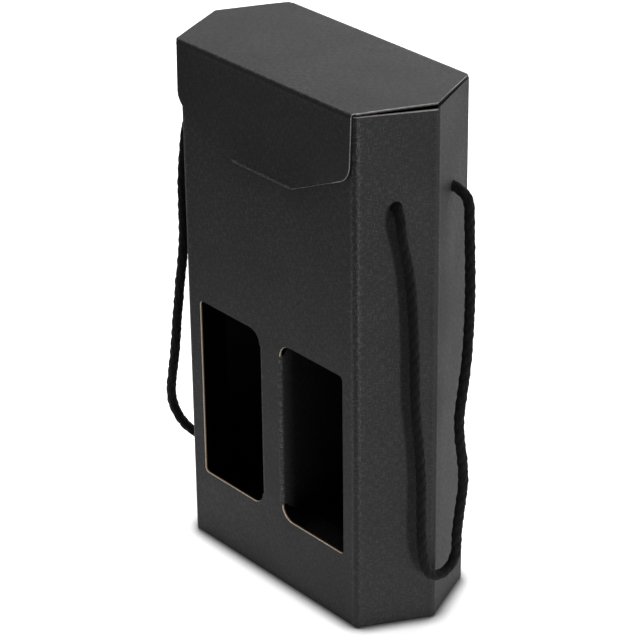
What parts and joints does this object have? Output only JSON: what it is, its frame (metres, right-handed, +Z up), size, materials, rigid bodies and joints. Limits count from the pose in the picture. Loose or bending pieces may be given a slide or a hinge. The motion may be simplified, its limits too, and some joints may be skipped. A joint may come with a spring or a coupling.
{
  "type": "two-bottle window carrier box",
  "caption": "Upright hexagonal board carton for bottles, with die-cut front windows, a hinged tuck-in lid, a snap-lock base and a rope handle at each end.",
  "frame": {"origin": "centre of the base, midway between the front and back panels, on the surface that the carton stands on", "axes": "+Z up, +X to the right when facing the windows, +Y to the back, so the windows face -Y"},
  "size_m": [0.2338, 0.0901, 0.34],
  "materials": {
    "board": "black fine-flute board, matte, with a fine linen emboss",
    "rope": "black twisted cotton cord"
  },
  "bodies": {
    "carton": {"front_panel": "board", "back_panel": "board", "right_front_panel": "board", "right_back_panel": "board", "left_front_panel": "board", "left_back_panel": "board", "seam_flap": "board", "base_front_flap": "board", "base_back_flap": "board", "base_right_flap": "board", "base_left_flap": "board", "right_front_knot": "rope", "right_back_knot": "rope", "left_front_knot": "rope", "left_back_knot": "rope"},
    "lid": {"lid_panel": "board"},
    "flap": {"front_flap": "board"},
    "tongue": {"tuck_tongue": "board"},
    "right_flap": {"right_window_flap": "board"},
    "left_flap": {"left_window_flap": "board"},
    "right_handle": {"right_cord": "rope"},
    "left_handle": {"left_cord": "rope"}
  },
  "joints": [
    {"name": "lid_hinge", "type": "hinge", "parent": "carton", "child": "lid", "pos_m": [0, 0.044, 0.34], "axis": [-1, 0, 0], "range_deg": [0, 180], "deforming": ["tuck_tongue"]},
    {"name": "flap_hinge", "type": "hinge", "parent": "lid", "child": "flap", "pos_m": [0, -0.0461, 0.34], "axis": [-1, 0, 0], "range_deg": [0, 90], "deforming": ["tuck_tongue"]},
    {"name": "tongue_hinge", "type": "hinge", "parent": "flap", "child": "tongue", "pos_m": [0, -0.0461, 0.2775], "axis": [-1, 0, 0], "range_deg": [0, 90], "deforming": ["tuck_tongue"]},
    {"name": "right_window_flap_hinge", "type": "hinge", "parent": "carton", "child": "right_flap", "pos_m": [0.0095, -0.044, 0.109], "axis": [0, 0, -1], "range_deg": [0, 90]},
    {"name": "left_window_flap_hinge", "type": "hinge", "parent": "carton", "child": "left_flap", "pos_m": [-0.0095, -0.044, 0.109], "axis": [0, 0, 1], "range_deg": [0, 90]},
    {"name": "right_handle_swing", "type": "hinge", "parent": "carton", "child": "right_handle", "pos_m": [0.098, 0, 0.28], "axis": [0, -1, 0], "range_deg": [0, 150], "deforming": ["right_cord"]},
    {"name": "left_handle_swing", "type": "hinge", "parent": "carton", "child": "left_handle", "pos_m": [-0.098, 0, 0.28], "axis": [0, 1, 0], "range_deg": [0, 150], "deforming": ["left_cord"]}
  ]
}
